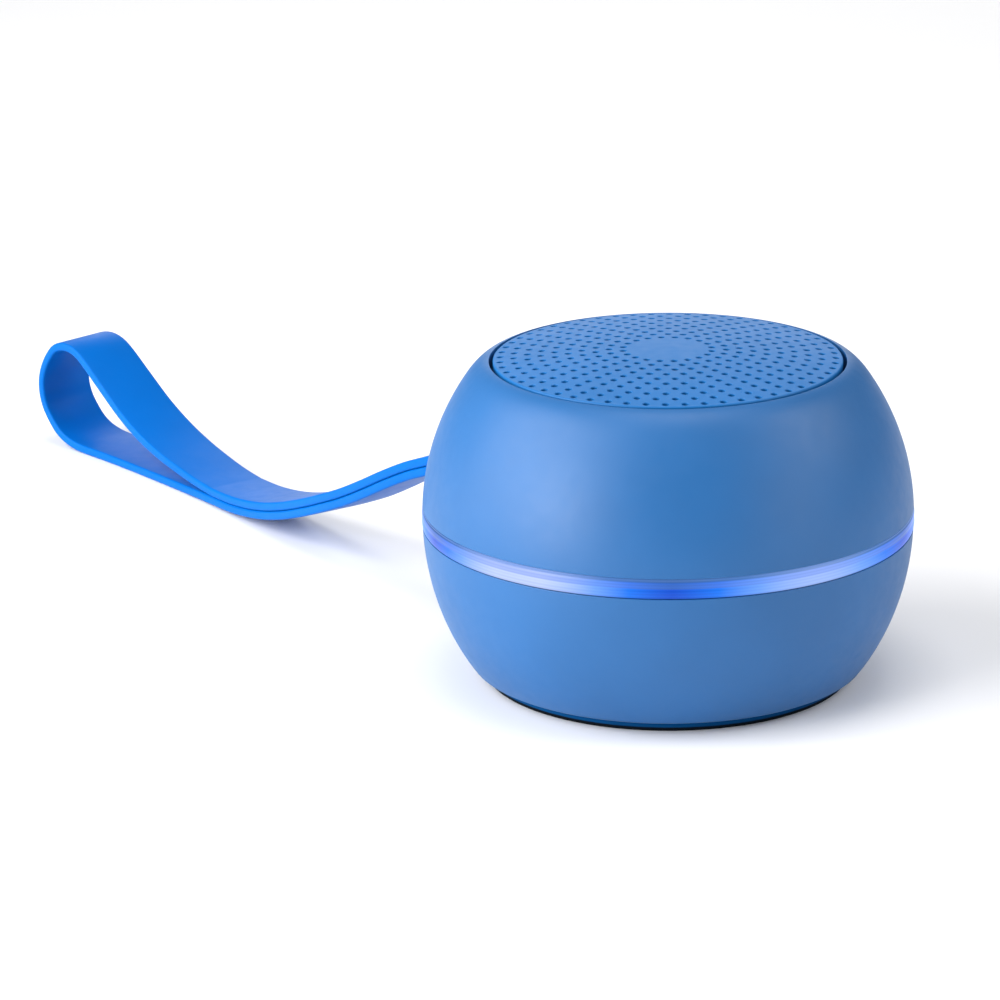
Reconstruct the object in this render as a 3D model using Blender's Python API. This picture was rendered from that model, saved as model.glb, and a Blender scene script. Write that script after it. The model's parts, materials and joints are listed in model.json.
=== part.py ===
"""Mini portable Bluetooth speaker: two blue shells, a light ring between them, a perforated grille
over a full-range driver, a board with its controls at the back, a battery and a silicone strap.
The speaker stands on the floor at z = 0, its axis is the Z axis and its back faces +Y.
Lengths below are in millimetres and become metres when a mesh is made."""

import bmesh
import bpy
import math
import numpy as np
from mathutils import Matrix, Vector

# ---------------------------------------------------------------- driving dimensions (mm)
R_MAX = 37.0  # largest radius of the body
Z_WAIST = 25.0  # height of that radius
UP_H, UP_N = 36.93, 1.964  # superellipse of the upper half
LO_H, LO_N = 38.0, 2.066  # superellipse of the lower half
WALL = 2.2
Z_BASE = 1.6  # flat underside of the lower shell
Z_LOW_RIM = 23.2
Z_RING = (23.45, 26.35)
Z_UP_RIM = 26.6
Z_LIP = 48.7  # top lip of the upper shell
R_RECESS = 26.7  # recess that the grille sits in
Z_LEDGE = (40.3, 41.9)  # ledge that carries the driver
R_LEDGE = 20.6
R_GRILLE = 26.1
Z_GRILLE_EDGE = 48.5
DOME_RISE = 1.7
FOOT_R, FOOT_H = 28.1, 1.58
BOSS_R, BOSS_AZ = 24.5, (40, 160, 280)
POST_R, POST_AZ = 26.5, (136, 220, 340)
BOARD_Z = (19.5, 20.7)
BOARD_R = 32.3
LED_AZ = (0, 60, 120, 180, 240, 300)
CTRL_Z = 17.6  # height of the controls on the back
SWITCH_AZ, USB_AZ = 56, 75
BUTTON_AZ = {"minus": 95, "play": 108, "plus": 121}
MIC_AZ = 33
STRAP_AZ = 137.3
STRAP_W, STRAP_T, STRAP_GAP = 10.4, 1.5, 0.12
STRAP_Z = 27.2
PIN_S, PIN_R = 28.6, 0.8
FLEX_S = 40.4  # where the strap starts to bend, measured from the body axis
SEG = 48  # facets round the body
TUBE_SEG, BORE_SEG, SCREW_SEG = 14, 11, 10


def upper_r(z):
    return R_MAX * (1 - (abs(z - Z_WAIST) / UP_H) ** UP_N) ** (1 / UP_N)


def lower_r(z):
    return R_MAX * (1 - (abs(z - Z_WAIST) / LO_H) ** LO_N) ** (1 / LO_N)


def dome_z(r):
    return Z_GRILLE_EDGE + DOME_RISE * (1 - (r / R_GRILLE) ** 2)


def polar(r, az, z=0.0):
    a = math.radians(az)
    return Vector((r * math.cos(a), r * math.sin(a), z))


# ---------------------------------------------------------------- helpers
for old in list(bpy.data.objects):
    bpy.data.objects.remove(old, do_unlink=True)


def material(name, color, rough, metal=0.0):
    m = bpy.data.materials.new(name)
    m.use_nodes = True
    b = m.node_tree.nodes["Principled BSDF"]
    b.inputs["Base Color"].default_value = (*color, 1)
    b.inputs["Roughness"].default_value = rough
    b.inputs["Metallic"].default_value = metal
    return m


BLUE = material("soft_blue", (0.10, 0.27, 0.60), 0.55)
GUIDE = material("light_guide", (0.45, 0.50, 1.0), 0.25)
SILICONE = material("silicone_blue", (0.0, 0.16, 0.72), 0.45)
RUBBER = material("foot_rubber", (0.005, 0.05, 0.14), 0.8)
CLOTH = material("grille_cloth", (0.02, 0.08, 0.22), 0.95)
BLACK = material("black_plastic", (0.02, 0.02, 0.022), 0.5)
CONE = material("cone_paper", (0.03, 0.03, 0.035), 0.8)
STEEL = material("steel", (0.55, 0.56, 0.58), 0.35, 1.0)
FERRITE = material("ferrite", (0.06, 0.06, 0.065), 0.6)
GREEN = material("board", (0.02, 0.16, 0.07), 0.45)
WHITE = material("led_white", (0.85, 0.86, 0.9), 0.4)
SILVER = material("pouch_foil", (0.6, 0.62, 0.65), 0.4, 0.6)
FOAM = material("foam", (0.08, 0.08, 0.085), 0.95)
RED_W = material("red_wire", (0.6, 0.02, 0.02), 0.5)
BLACK_W = material("black_wire", (0.015, 0.015, 0.015), 0.5)
COPPER = material("copper", (0.75, 0.33, 0.16), 0.35, 1.0)


def make(name, verts, faces, mat, origin=(0, 0, 0), smooth=30):
    o = Vector(origin)
    mesh = bpy.data.meshes.new(name)
    mesh.from_pydata([(Vector(v) - o) * 0.001 for v in verts], [], faces)
    bm = bmesh.new()
    bm.from_mesh(mesh)
    bmesh.ops.recalc_face_normals(bm, faces=bm.faces)
    bm.to_mesh(mesh)
    bm.free()
    mesh.shade_smooth()
    mesh.set_sharp_from_angle(angle=math.radians(smooth))
    mesh.materials.append(mat)
    obj = bpy.data.objects.new(name, mesh)
    obj.location = o * 0.001
    bpy.context.scene.collection.objects.link(obj)
    return obj


def revolve(name, profile, mat, seg=SEG, frame=None, origin=(0, 0, 0)):
    """Turns a closed (r, z) outline about the axis; frame places that axis."""
    frame = frame or Matrix()
    verts, rings = [], []
    for r, z in profile:
        if r < 1e-9:
            rings.append([len(verts)] * seg)
            verts.append(frame @ Vector((0, 0, z)))
        else:
            rings.append(list(range(len(verts), len(verts) + seg)))
            for k in range(seg):
                a = 2 * math.pi * (k + 0.5) / seg
                verts.append(frame @ Vector((r * math.cos(a), r * math.sin(a), z)))
    faces = []
    for i in range(len(rings)):
        p, q = rings[i], rings[(i + 1) % len(rings)]
        for k in range(seg):
            n = (k + 1) % seg
            f = list(dict.fromkeys((p[k], p[n], q[n], q[k])))
            if len(f) > 2:
                faces.append(f)
    return make(name, verts, faces, mat, origin)


def place(az, z=0.0):
    """Frame at a height on the axis: X outward, Y along the wall, Z up."""
    return Matrix.Translation((0, 0, z)) @ Matrix.Rotation(math.radians(az), 4, "Z")


def lean(frame, x, degrees):
    """The frame turned at its point x on the wall, so that X leans down to meet the wall squarely."""
    out = Matrix.Translation((x, 0, 0))
    return frame @ out @ Matrix.Rotation(math.radians(degrees), 4, "Y") @ out.inverted()


def block(name, frame, x, y, z, mat, chamfer=0.0, origin=(0, 0, 0)):
    """A box over the ranges x, y and z of a frame, its corners along X cut by a chamfer."""
    c = chamfer
    if c:
        ring = [
            (y[0] + c, z[0]), (y[1] - c, z[0]), (y[1], z[0] + c), (y[1], z[1] - c),
            (y[1] - c, z[1]), (y[0] + c, z[1]), (y[0], z[1] - c), (y[0], z[0] + c),
        ]
    else:
        ring = [(y[0], z[0]), (y[1], z[0]), (y[1], z[1]), (y[0], z[1])]
    n = len(ring)
    verts = [frame @ Vector((xx, a, b)) for xx in x for a, b in ring]
    faces = [list(range(n))[::-1], list(range(n, 2 * n))]
    faces += [(k, (k + 1) % n, n + (k + 1) % n, n + k) for k in range(n)]
    return make(name, verts, faces, mat, origin)


def rod(name, p, q, r, mat, seg=12, origin=(0, 0, 0)):
    p, q = Vector(p), Vector(q)
    turn = (q - p).to_track_quat("Z", "Y").to_matrix().to_4x4()
    frame = Matrix.Translation(p) @ turn
    length = (q - p).length
    return revolve(name, [(0, 0), (r, 0), (r, length), (0, length)], mat, seg, frame, origin)


def cut(obj, cutter, operation="DIFFERENCE"):
    mod = obj.modifiers.new(cutter.name, "BOOLEAN")
    mod.operation = operation
    mod.object = cutter
    mod.solver = "EXACT"
    cutter.hide_render = True
    cutter.display_type = "WIRE"


def cylinder_cut(obj, name, x, y, z0, z1, r, operation="DIFFERENCE"):
    seg = TUBE_SEG if operation == "UNION" else BORE_SEG
    cut(obj, rod(name, (x, y, z0), (x, y, z1), r, BLACK, seg), operation)


# ---------------------------------------------------------------- strap path
def heading(s):
    q = (s - 100) / 60
    return math.radians(125.5 + 0.4 * q + 12.0 * q * q)


def strap_plan():
    """Where the strap's centre line runs over the floor, for each millimetre of its reach."""
    at = polar(40.0, STRAP_AZ)
    table = [(40.0, at.x, at.y, math.radians(STRAP_AZ))]
    s = 40.0
    while s < 172:
        h = heading(s + 0.25)
        at = at + Vector((math.cos(h), math.sin(h), 0)) * 0.5
        s += 0.5
        table.append((s, at.x, at.y, heading(s)))
    return np.array(table)


PLAN = strap_plan()


def strap_at(s, side, z):
    if s <= 40:
        p, h = polar(s, STRAP_AZ), math.radians(STRAP_AZ)
    else:
        p = Vector((np.interp(s, PLAN[:, 0], PLAN[:, 1]), np.interp(s, PLAN[:, 0], PLAN[:, 2]), 0))
        h = float(np.interp(s, PLAN[:, 0], PLAN[:, 3]))
    return Vector((p.x + side * math.sin(h), p.y - side * math.cos(h), z))


def curve_through(points, step):
    """Smooth curve through the points, about one step between samples."""
    p = np.array([points[0]] + list(points) + [points[-1]], float)
    out = []
    for i in range(1, len(p) - 2):
        a, b, c, d = p[i - 1], p[i], p[i + 1], p[i + 2]
        n = max(1, int(round(np.linalg.norm(c - b) / step)))
        for k in range(n):
            t = k / n
            out.append(
                0.5 * (2 * b + (c - a) * t + (2 * a - 5 * b + 4 * c - d) * t * t
                       + (3 * b - a - 3 * c + d) * t * t * t)
            )
    out.append(p[-2])
    return np.array(out)


def band(name, inner, outer, mat, origin):
    """A band of the strap's width whose side outline is inner and then outer, end to end."""
    ring = list(outer) + list(inner)[::-1]
    n = len(ring)
    verts = [strap_at(s, side * STRAP_W / 2, z) for side in (-1, 1) for s, z in ring]
    faces = [(k, (k + 1) % n, n + (k + 1) % n, n + k) for k in range(n)]
    m = len(outer)
    for base in (0, n):
        # The outline's two ends are joined by quads, so that each side is planar strips.
        faces += [
            (base + k, base + k + 1, base + n - 2 - k, base + n - 1 - k) for k in range(m - 1)
        ]
    return make(name, verts, faces, mat, origin, 40)


def offset(path, d):
    p = np.array(path, float)
    t = np.gradient(p, axis=0)
    t /= np.linalg.norm(t, axis=1)[:, None]
    return p + np.stack([-t[:, 1], t[:, 0]], 1) * d


# ---------------------------------------------------------------- shells
up = [(upper_r(z), z) for z in np.linspace(Z_UP_RIM, 47.3, 8)]
up += [(28.3, 48.3), (27.5, Z_LIP), (R_RECESS, Z_LIP), (R_RECESS, Z_LEDGE[1])]
up += [(R_LEDGE, Z_LEDGE[1]), (R_LEDGE, Z_LEDGE[0])]
up += [(upper_r(z) - WALL, z) for z in np.linspace(Z_LEDGE[0], Z_UP_RIM, 5)]
upper_shell = revolve("upper_shell", up, BLUE)

low = [(0, Z_BASE), (28.4, Z_BASE), (29.3, 1.9), (lower_r(2.6), 2.6)]
low += [(lower_r(z), z) for z in np.linspace(2.6, Z_LOW_RIM, 8)[1:]]
low += [(lower_r(z) - WALL, z) for z in np.linspace(Z_LOW_RIM, 5.4, 5)]
low += [(27.2, 3.8), (0, 3.8)]
lower_shell = revolve("lower_shell", low, BLUE)

for n, az in enumerate(BOSS_AZ, 1):
    c = polar(BOSS_R, az)
    cylinder_cut(lower_shell, f"tube_{n}", c.x, c.y, 2.6, Z_LOW_RIM, 2.9, "UNION")
    cylinder_cut(upper_shell, f"pillar_{n}", c.x, c.y, 23.6, 41.0, 2.3, "UNION")
for n, az in enumerate(POST_AZ, 1):
    c = polar(POST_R, az)
    cylinder_cut(lower_shell, f"post_{n}", c.x, c.y, 2.6, 19.2, 2.1, "UNION")
    cylinder_cut(lower_shell, f"post_bore_{n}", c.x, c.y, 14.5, 20.0, 1.1)
for n, az in enumerate(BOSS_AZ, 1):
    c = polar(BOSS_R, az)
    cylinder_cut(lower_shell, f"tube_bore_{n}", c.x, c.y, 1.0, 19.5, 2.1)
    cylinder_cut(lower_shell, f"tube_neck_{n}", c.x, c.y, 19.0, 24.0, 1.3)
    cylinder_cut(upper_shell, f"pillar_bore_{n}", c.x, c.y, 23.0, 32.0, 1.3)
for n in range(4):
    c = polar(23.0, 90 * n)
    cylinder_cut(upper_shell, f"driver_bore_{n}", c.x, c.y, 39.5, 42.5, 1.1)

# Ribs that carry the strap pin, and the notch that lets the strap out.
F_STRAP = place(STRAP_AZ)
for n, y in enumerate(((-7.6, -5.9), (5.9, 7.6)), 1):
    cut(upper_shell, block(f"rib_{n}", F_STRAP, (29.5, 34.9), y, (27.0, 33.0), BLUE), "UNION")
    y = (y[0] - 0.1, y[1] + 0.1)
    cut(upper_shell, block(f"rib_end_{n}", F_STRAP, (26.8, 31.2), y, (25.5, 32.8), BLUE), "UNION")
cut(upper_shell, block("strap_notch", F_STRAP, (26.0, 39.0), (-5.5, 5.5), (25.2, 29.2), BLUE))
pin_hole = rod(
    "pin_hole", F_STRAP @ Vector((PIN_S, -9, STRAP_Z)), F_STRAP @ Vector((PIN_S, 9, STRAP_Z)),
    PIN_R + 0.3, BLACK,
)
cut(upper_shell, pin_hole)

# Openings on the back of the lower shell.
F_USB = place(USB_AZ, CTRL_Z)
F_FLAP = lean(F_USB, 36.3, 9.0)
cut(lower_shell, block("flap_recess", F_FLAP, (35.0, 40), (-6.3, 6.3), (-3.2, 3.2), BLUE))
cut(lower_shell, block("usb_opening", F_USB, (30.0, 40), (-4.9, 4.9), (-1.9, 1.9), BLUE, 1.0))
F_SWITCH = place(SWITCH_AZ, CTRL_Z)
cut(lower_shell, block("switch_slot", F_SWITCH, (32, 40), (-2.7, 2.7), (-1.2, 1.2), BLUE))
for name, az in BUTTON_AZ.items():
    f = place(az, CTRL_Z)
    cut(lower_shell, rod(f"hole_{name}", f @ Vector((32, 0, 0)), f @ Vector((40, 0, 0)), 2.8,
                         BLUE, 20))
f = place(MIC_AZ, CTRL_Z)
cut(lower_shell, rod("mic_hole", f @ Vector((32, 0, 0)), f @ Vector((40, 0, 0)), 0.7, BLUE, 10))

light_ring = revolve(
    "light_ring",
    [
        (34.9, Z_RING[0]), (36.9, Z_RING[0]), (37.0, Z_WAIST), (36.9, Z_RING[1]),
        (32.5, Z_RING[1]), (32.5, 21.3),
        (34.2, 21.3), (34.2, Z_RING[0] + 0.8), (34.9, Z_RING[0] + 0.8),
    ],
    GUIDE,
)
cut(light_ring, block("ring_notch", F_STRAP, (31.0, 39.0), (-5.5, 5.5), (25.2, 27.0), GUIDE))

foot_pad = revolve(
    "foot_pad", [(0, 0), (FOOT_R - 0.2, 0), (FOOT_R, 0.2), (FOOT_R, FOOT_H), (0, FOOT_H)], RUBBER
)

# ---------------------------------------------------------------- grille and cloth
outer_dome = [(r, dome_z(r)) for r in (0, 10.0, 18.0, 25.0)]
g = outer_dome + [(25.8, dome_z(25.8) - 0.1), (R_GRILLE, dome_z(25.8) - 0.4)]
g += [(R_GRILLE, 42.2), (25.1, 42.2)]
g += [(min(r, 25.1) if r < 25 else 25.1, z - 1.0) for r, z in outer_dome[::-1]]
grille = revolve("grille", g, BLUE, 36)
verts, faces = [], []
for ring in range(3):
    r = 8.5 + 6.5 * ring
    count = 9 + 6 * ring
    for k in range(count):
        c = polar(r, 360 / count * (k + 0.5 * (ring % 2)))
        base = len(verts)
        for z in (46.0, 52.0):
            verts += [c + polar(0.9, 60 * j + 20, z) for j in range(6)]
        faces += [[base + j for j in range(5, -1, -1)], [base + 6 + j for j in range(6)]]
        faces += [
            (base + j, base + (j + 1) % 6, base + 6 + (j + 1) % 6, base + 6 + j) for j in range(6)
        ]
cut(grille, make("grille_holes", verts, faces, BLUE))
cloth_top = [(r, dome_z(r) - 1.3) for r in (0, 13.0, 24.6)]
revolve(
    "grille_cloth", cloth_top + [(r, z - 0.35) for r, z in cloth_top[::-1]], CLOTH, 24
)

# ---------------------------------------------------------------- driver
Z_FLANGE = (43.1, 44.1)
revolve("driver_gasket", [(R_LEDGE + 0.2, 42.2), (22.0, 42.2), (22.0, 42.8), (R_LEDGE + 0.2, 42.8)],
        FOAM, 30)
basket = revolve(
    "driver_basket",
    [
        (8.6, 33.2), (13.9, 33.2), (20.3, 43.1), (24.7, 43.1), (24.7, 44.1), (19.7, 44.1),
        (13.4, 34.2), (8.6, 34.2),
    ],
    BLACK,
    30,
)
for n in range(4):
    c = polar(23.0, 90 * n)
    cylinder_cut(basket, f"flange_bore_{n}", c.x, c.y, 42.5, 44.5, 1.1)
    f = place(45 + 90 * n, 38.6)
    cut(basket, block(f"window_{n}", f, (11.7, 22.3), (-4.3, 4.3), (-2.55, 2.55), BLACK))


def screw(name, x, y, z_head, z_tip, r_head, r_body, up_head):
    """A screw along Z: its head ends at z_head and its tip is at z_tip."""
    sgn = 1 if up_head else -1
    z_seat = z_head - sgn * r_head * 0.7
    return revolve(
        name,
        [(0, z_tip), (r_body, z_tip), (r_body, z_seat), (r_head, z_seat), (r_head, z_head),
         (0, z_head)],
        STEEL, SCREW_SEG, Matrix.Translation((x, y, 0)),
    )


for n in range(4):
    c = polar(23.0, 90 * n)
    screw(f"driver_screw_{n + 1}", c.x, c.y, 45.4, 40.6, 1.4, 0.8, True)
block("driver_terminals", place(195), (18.4, 20.2), (-4, 4), (34.6, 38.2), BLACK)
revolve("yoke", [(0, 24.6), (14.0, 24.6), (14.0, 26.3), (4.6, 26.3), (4.6, 33.0), (0, 33.0)],
        STEEL, 28)
revolve("magnet", [(7.5, 26.6), (15.0, 26.6), (15.0, 30.8), (7.5, 30.8)], FERRITE, 28)
revolve("top_plate", [(5.8, 31.1), (13.6, 31.1), (13.6, 32.9), (5.8, 32.9)], STEEL, 28)
surround = [(16.7, 44.4), (17.7, 44.4), (19.0, 45.7), (20.3, 44.4), (21.3, 44.4), (21.3, 44.8),
            (20.6, 44.9), (19.0, 46.2), (17.4, 44.9), (16.7, 44.8)]
revolve("surround", surround, CONE, 30)
revolve(
    "spider",
    [(5.8, 37.3), (9.5, 36.5), (13.6, 36.0), (13.6, 36.4), (9.5, 36.9), (5.8, 37.7)],
    COPPER, 24,
)
AXIS_PT = (0, 0, 40)
revolve("cone", [(5.8, 39.3), (11.0, 41.6), (16.4, 44.4), (16.4, 44.9), (11.0, 42.1), (5.8, 39.9)],
        CONE, 30, origin=AXIS_PT)
revolve(
    "dust_cap",
    [(0, 41.9), (3.3, 41.5), (6.6, 40.6), (6.6, 41.0), (3.3, 41.9), (0, 42.3)],
    CONE, 20, origin=AXIS_PT,
)
revolve("voice_coil", [(4.95, 30.2), (5.45, 30.2), (5.45, 39.6), (4.95, 39.6)], COPPER, 24,
        origin=AXIS_PT)

# ---------------------------------------------------------------- board and what it carries
board = revolve("main_board", [(0, BOARD_Z[0]), (BOARD_R, BOARD_Z[0]), (BOARD_R, BOARD_Z[1]),
                               (0, BOARD_Z[1])], GREEN, SEG)
for n, az in enumerate(BOSS_AZ, 1):
    c = polar(BOSS_R, az)
    cylinder_cut(board, f"board_gap_{n}", c.x, c.y, 19, 21.5, 3.3)
for n, az in enumerate(POST_AZ, 1):
    c = polar(POST_R, az)
    cylinder_cut(board, f"board_hole_{n}", c.x, c.y, 19, 21.5, 1.1)
    screw(f"board_screw_{n}", c.x, c.y, 22.1, 15.5, 1.5, 0.8, True)
for n, az in enumerate(BOSS_AZ, 1):
    c = polar(BOSS_R, az)
    screw(f"case_screw_{n}", c.x, c.y, 17.6, 30.0, 1.75, 1.0, False)
for n, az in enumerate(LED_AZ, 1):
    block(f"led_{n}", place(az), (30.6, 31.9), (-1.6, 1.6), (21.0, 22.1), WHITE)
block("radio_shield", Matrix(), (-15, -3), (-13, 1), (21.0, 23.2), STEEL)
block("amp_chip", Matrix(), (3, 9), (-10, -4), (21.0, 22.2), BLACK)
block("speaker_plug", place(195), (17.0, 20.5), (-3, 3), (21.0, 23.8), WHITE)
block("battery_plug", Matrix(), (17.6, 21.2), (-11, -5), (16.2, 19.2), WHITE)
block("battery", Matrix(), (-17, 17), (-13, 13), (4.9, 12.4), SILVER, 1.2)
block("battery_foam", Matrix(), (-15, 15), (-10, 10), (4.1, 4.6), FOAM)
f = place(MIC_AZ)
rod("microphone", f @ Vector((29.6, 0, 18.0)), f @ Vector((29.6, 0, 19.2)), 2.0, STEEL, 16)

usb = block("usb_socket", F_USB, (25.8, 33.1), (-4.5, 4.5), (-1.6, 1.6), STEEL, 0.9)
cut(usb, block("usb_mouth", F_USB, (27.5, 36), (-4.15, 4.15), (-1.25, 1.25), STEEL, 0.7))
block("power_switch", F_SWITCH, (28.6, 32.4), (-3.6, 3.6), (-1.6, 1.6), STEEL)
for name, az in BUTTON_AZ.items():
    f = place(az, CTRL_Z)
    body = block(f"tact_{name}", f, (28.4, 31.0), (-2.2, 2.2), (-1.6, 1.6), BLACK)
    cut(body, rod(f"plunger_{name}", f @ Vector((30.5, 0, 0)), f @ Vector((31.6, 0, 0)), 1.0,
                  BLACK, 12), "UNION")

# ---------------------------------------------------------------- moving controls
for name, az in BUTTON_AZ.items():
    f = place(az, CTRL_Z)
    axis = f @ Matrix.Rotation(math.radians(90), 4, "Y")
    revolve(
        f"button_{name}",
        [(0, 32.15), (1.0, 32.15), (1.0, 32.95), (3.0, 32.95), (3.0, 33.25), (2.5, 33.25),
         (2.5, 36.6), (2.2, 36.95), (0, 37.05)],
        BLUE, 20, axis, f @ Vector((36.0, 0, 0)),
    )
knob = block("switch_knob", F_SWITCH, (32.7, 33.3), (-3.1, 0.7), (-1.6, 1.6), BLACK,
             origin=F_SWITCH @ Vector((33, -1.2, 0)))
cut(knob, block("knob_stem", F_SWITCH, (33.0, 37.3), (-2.4, 0.0), (-0.9, 0.9), BLACK), "UNION")

# The flap turns about the centre of its rounded bottom edge, half-way through its thickness.
FLAP_X, FLAP_Z = (35.3, 36.3), (-2.9, 2.9)
half = (FLAP_X[1] - FLAP_X[0]) / 2
side = [(FLAP_X[1], FLAP_Z[1] - 0.2), (FLAP_X[1] - 0.2, FLAP_Z[1]), (FLAP_X[0], FLAP_Z[1])]
for k in range(7):
    a = math.radians(180 + 30 * k)
    side.append((FLAP_X[0] + half + half * math.cos(a), FLAP_Z[0] + half + half * math.sin(a)))
verts = [F_FLAP @ Vector((x, y, z)) for y in (-6.0, 6.0) for x, z in side]
n = len(side)
faces = [list(range(n)), list(range(n, 2 * n))[::-1]]
faces += [(k, (k + 1) % n, n + (k + 1) % n, n + k) for k in range(n)]
FLAP_PIVOT = F_FLAP @ Vector((FLAP_X[0] + half, 0, FLAP_Z[0] + half))
make("usb_flap", verts, faces, SILICONE, FLAP_PIVOT)

# ---------------------------------------------------------------- strap
rod("strap_pin", F_STRAP @ Vector((PIN_S, -8.6, STRAP_Z)), F_STRAP @ Vector((PIN_S, 8.6, STRAP_Z)),
    PIN_R, STEEL, 12)
HALF = STRAP_T + STRAP_GAP / 2  # half the thickness of the two layers together
mid = HALF - STRAP_T / 2

# The band comes in, turns round the pin and goes out again.
turn_r = PIN_R + 0.3 + STRAP_T / 2
root = [(FLEX_S - HALF - 0.3, STRAP_Z + mid), (36.0, STRAP_Z + mid), (33.5, STRAP_Z + mid + 0.05)]
for k in range(9):
    a = math.radians(75 + 210 * k / 8)
    root.append((PIN_S + turn_r * math.cos(a), STRAP_Z + turn_r * math.sin(a)))
root += [(s, 2 * STRAP_Z - z) for s, z in root[2::-1]]
band("strap_root", offset(root, STRAP_T / 2), offset(root, -STRAP_T / 2), SILICONE, (0, 0, 0))

# The free loop: two layers side by side from the flex line to the table, then the open eye.
pair = curve_through(
    [(FLEX_S, STRAP_Z), (46, 24.0), (58, 18.2), (70, 12.3), (82, 7.5), (94, 3.9), (104, 2.15),
     (112, 1.75)], 4.0,
)
eye = curve_through(
    [(112, 1.75 + mid), (120, 3.25), (130, 5.25), (142, 9.9), (151, 15.9), (156.8, 18.7),
     (162.4, 17.0), (164.6, 11.4), (162.2, 5.0), (156.5, 1.35), (146, 0.95), (130, 0.93),
     (112, 1.75 - mid)], 3.2,
)
path = list(offset(pair, mid)[1:-1]) + list(eye) + list(offset(pair, -mid)[1:-1][::-1])
outer, inner = offset(path, STRAP_T / 2), offset(path, -STRAP_T / 2)
# Both layers end in one round knuckle on the flex line.
knuckle = [
    (FLEX_S + HALF * math.cos(a), STRAP_Z + HALF * math.sin(a))
    for a in np.radians(np.linspace(65, 245, 9))
]
ring = [tuple(p) for p in outer] + knuckle[::-1]
hole = [tuple(p) for p in inner]


def loop_mesh(outline, inside, name, origin):
    """The loop's side view has an outline and a slit-and-eye hole; both are extruded as one band."""
    n, m = len(outline), len(inside)
    verts = [strap_at(s, sd * STRAP_W / 2, z) for sd in (-1, 1) for s, z in list(outline) + inside]
    half_n = n + m
    faces = [(k, (k + 1) % n, half_n + (k + 1) % n, half_n + k) for k in range(n)]
    faces += [(n + k, n + (k + 1) % m, half_n + n + (k + 1) % m, half_n + n + k)
              for k in range(m)]
    for base in (0, half_n):
        faces += [(base + k, base + k + 1, base + n + k + 1, base + n + k) for k in range(m - 1)]
        # The knuckle fan: the rest of the outline closed onto the hole's two ends.
        rest = list(range(m - 1, n)) + [0]
        split = len(rest) // 2
        for a, b in zip(rest[:-1], rest[1:]):
            i = rest.index(a)
            to = n + m - 1 if i < split else n
            faces.append((base + a, base + b, base + to))
        faces.append((base + n + m - 1, base + rest[split], base + n))
    return make(name, verts, faces, SILICONE, origin, 40)


loop_mesh(ring, hole, "strap_loop", polar(FLEX_S, STRAP_AZ, STRAP_Z))


# ---------------------------------------------------------------- wires
def wire(name, points, r, mat):
    curve = bpy.data.curves.new(name, "CURVE")
    curve.dimensions = "3D"
    curve.bevel_depth = r * 0.001
    curve.bevel_resolution = 1
    curve.use_fill_caps = True
    curve.resolution_u = 4
    curve.render_resolution_u = 0
    s = curve.splines.new("BEZIER")
    s.bezier_points.add(len(points) - 1)
    for b, p in zip(s.bezier_points, points):
        b.co = Vector(p) * 0.001
        b.handle_left_type = b.handle_right_type = "AUTO"
    curve.materials.append(mat)
    obj = bpy.data.objects.new(name, curve)
    bpy.context.scene.collection.objects.link(obj)
    return obj


f = place(195)
for name, y, mat in (("speaker_wire_red", -1.5, RED_W), ("speaker_wire_black", 1.5, BLACK_W)):
    wire(name, [f @ Vector(p) for p in ((19.3, y, 34.2), (20.6, y, 29.0), (19.2, y, 24.2))], 0.5,
         mat)
for name, y, mat in (("battery_wire_red", -9.5, RED_W), ("battery_wire_black", -6.5, BLACK_W)):
    wire(name, [(17.4, y, 8.5), (20.3, y, 11.5), (19.6, y, 15.8)], 0.5, mat)
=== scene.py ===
"""Looks of a mini portable Bluetooth speaker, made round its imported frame.

Lengths are in millimetres and become metres when a mesh is made. The body's axis is Z, the table is
z = 0, and the back, with the controls, faces +Y. Azimuths are degrees from +X towards +Y."""

import json
import math

import bmesh
import bpy
import numpy as np
from mathutils import Matrix, Vector
from mathutils.geometry import delaunay_2d_cdt

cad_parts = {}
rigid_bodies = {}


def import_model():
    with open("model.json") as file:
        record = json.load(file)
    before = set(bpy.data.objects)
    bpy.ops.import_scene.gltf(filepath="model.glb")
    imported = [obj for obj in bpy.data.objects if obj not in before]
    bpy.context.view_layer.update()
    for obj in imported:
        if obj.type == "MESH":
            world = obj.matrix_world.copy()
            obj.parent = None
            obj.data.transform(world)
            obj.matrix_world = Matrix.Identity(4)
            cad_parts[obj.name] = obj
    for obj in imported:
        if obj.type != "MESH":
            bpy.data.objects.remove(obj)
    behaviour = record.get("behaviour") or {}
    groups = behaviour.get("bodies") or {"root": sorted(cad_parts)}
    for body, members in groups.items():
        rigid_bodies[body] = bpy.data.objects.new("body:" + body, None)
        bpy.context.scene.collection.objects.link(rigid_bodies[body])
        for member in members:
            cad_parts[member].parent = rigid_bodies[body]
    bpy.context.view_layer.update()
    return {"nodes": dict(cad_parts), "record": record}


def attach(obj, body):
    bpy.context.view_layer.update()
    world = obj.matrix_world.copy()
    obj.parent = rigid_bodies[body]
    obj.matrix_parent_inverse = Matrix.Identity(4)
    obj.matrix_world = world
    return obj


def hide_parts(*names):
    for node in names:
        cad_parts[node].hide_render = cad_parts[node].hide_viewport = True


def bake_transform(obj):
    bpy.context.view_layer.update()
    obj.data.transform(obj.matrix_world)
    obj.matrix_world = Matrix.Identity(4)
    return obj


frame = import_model()

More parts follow.
